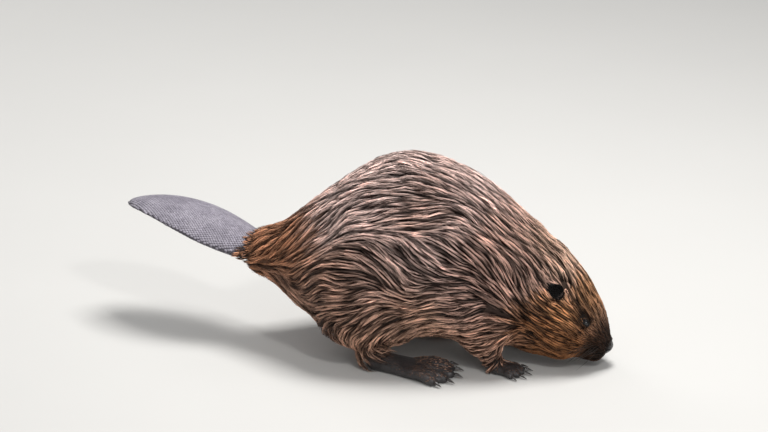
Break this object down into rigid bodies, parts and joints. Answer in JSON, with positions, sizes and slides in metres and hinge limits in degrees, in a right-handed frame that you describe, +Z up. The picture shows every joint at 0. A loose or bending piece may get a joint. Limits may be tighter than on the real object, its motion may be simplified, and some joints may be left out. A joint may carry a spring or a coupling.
{
  "type": "beaver",
  "caption": "Life-size beaver standing on four feet with an arched back, its head lowered and its flat scaly tail held out behind.",
  "frame": {"origin": "on the floor, under the middle of the whole animal's box", "axes": "+X towards the nose, +Y to the animal's left, +Z up"},
  "size_m": [0.8138, 0.3104, 0.3272],
  "materials": {
    "wet_fur": "long wet guard hair in pointed locks, dark brown with taupe tips",
    "tail_scales": "blue-grey, finely scaled, satin",
    "foot_skin": "dark grey scaly skin, damp",
    "nose_skin": "black, moist",
    "ear_skin": "near black, short hair",
    "eye_gloss": "glossy black-brown",
    "claw_horn": "dark horn, worn paler at the tips"
  },
  "bodies": {
    "root": {"ear_left": "ear_skin", "ear_right": "ear_skin", "eye_left": "eye_gloss", "eye_right": "eye_gloss", "forefoot_left": "foot_skin", "forefoot_left_claw_1": "claw_horn", "forefoot_left_claw_2": "claw_horn", "forefoot_left_claw_3": "claw_horn", "forefoot_left_claw_4": "claw_horn", "forefoot_left_claw_5": "claw_horn", "forefoot_right": "foot_skin", "forefoot_right_claw_1": "claw_horn", "forefoot_right_claw_2": "claw_horn", "forefoot_right_claw_3": "claw_horn", "forefoot_right_claw_4": "claw_horn", "forefoot_right_claw_5": "claw_horn", "foreleg_left": "wet_fur", "foreleg_right": "wet_fur", "head": "wet_fur", "hind_foot_left": "foot_skin", "hind_foot_left_claw_1": "claw_horn", "hind_foot_left_claw_2": "claw_horn", "hind_foot_left_claw_3": "claw_horn", "hind_foot_left_claw_4": "claw_horn", "hind_foot_left_claw_5": "claw_horn", "hind_foot_right": "foot_skin", "hind_foot_right_claw_1": "claw_horn", "hind_foot_right_claw_2": "claw_horn", "hind_foot_right_claw_3": "claw_horn", "hind_foot_right_claw_4": "claw_horn", "hind_foot_right_claw_5": "claw_horn", "hind_leg_left": "wet_fur", "hind_leg_right": "wet_fur", "neck": "wet_fur", "nose": "nose_skin", "tail": "tail_scales", "tail_root": "wet_fur", "trunk": "wet_fur"}
  },
  "joints": []
}
